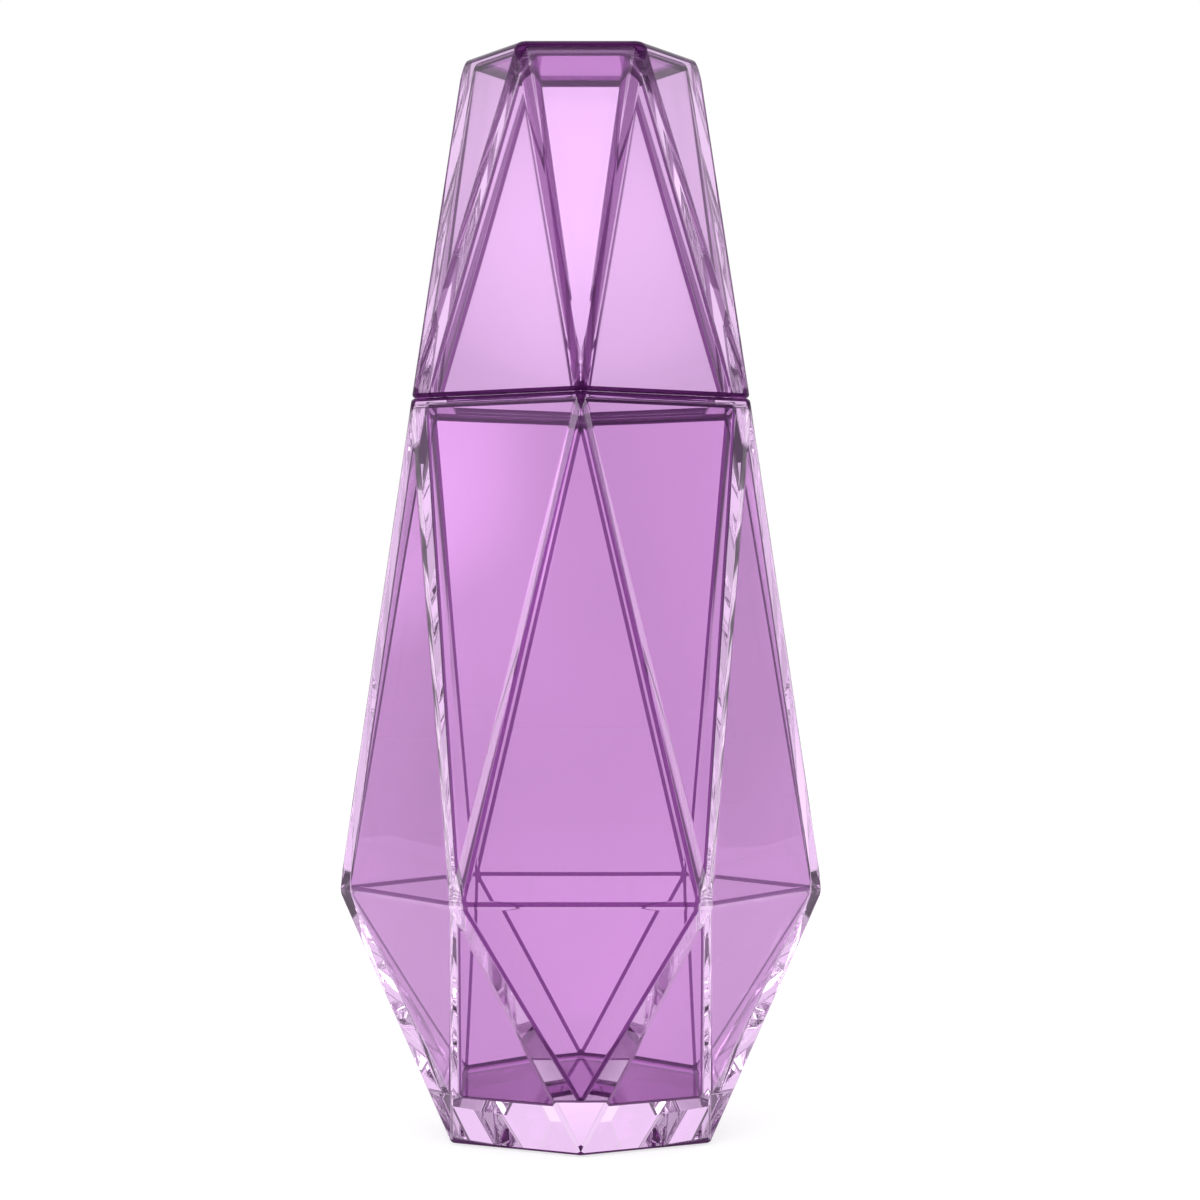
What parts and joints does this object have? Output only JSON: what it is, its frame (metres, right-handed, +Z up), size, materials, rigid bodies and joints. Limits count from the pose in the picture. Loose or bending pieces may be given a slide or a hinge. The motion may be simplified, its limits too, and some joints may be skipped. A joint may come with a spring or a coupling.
{
  "type": "carafe with tumbler",
  "caption": "Faceted six-sided bedside carafe in clear purple glass, with an upturned matching tumbler that stands on its shoulder as the lid and lifts off to drink from.",
  "frame": {"origin": "centre of the flat base, where the carafe stands", "axes": "+Z up along the axis of the carafe and the tumbler; a corner of the base points along -Y, towards the camera of the picture; corners of the widest level point along +X and -X"},
  "size_m": [0.1122, 0.098, 0.25],
  "materials": {
    "carafe_glass": "clear polished glass, tinted on the inside",
    "tumbler_glass": "clear polished glass, tinted on the inside"
  },
  "bodies": {
    "carafe": {"carafe": "carafe_glass"},
    "tumbler": {"tumbler": "tumbler_glass"}
  },
  "joints": [
    {"name": "tumbler_lift", "type": "slide", "parent": "carafe", "child": "tumbler", "axis": [0, 0, 1], "range_m": [0, 0.12]}
  ]
}
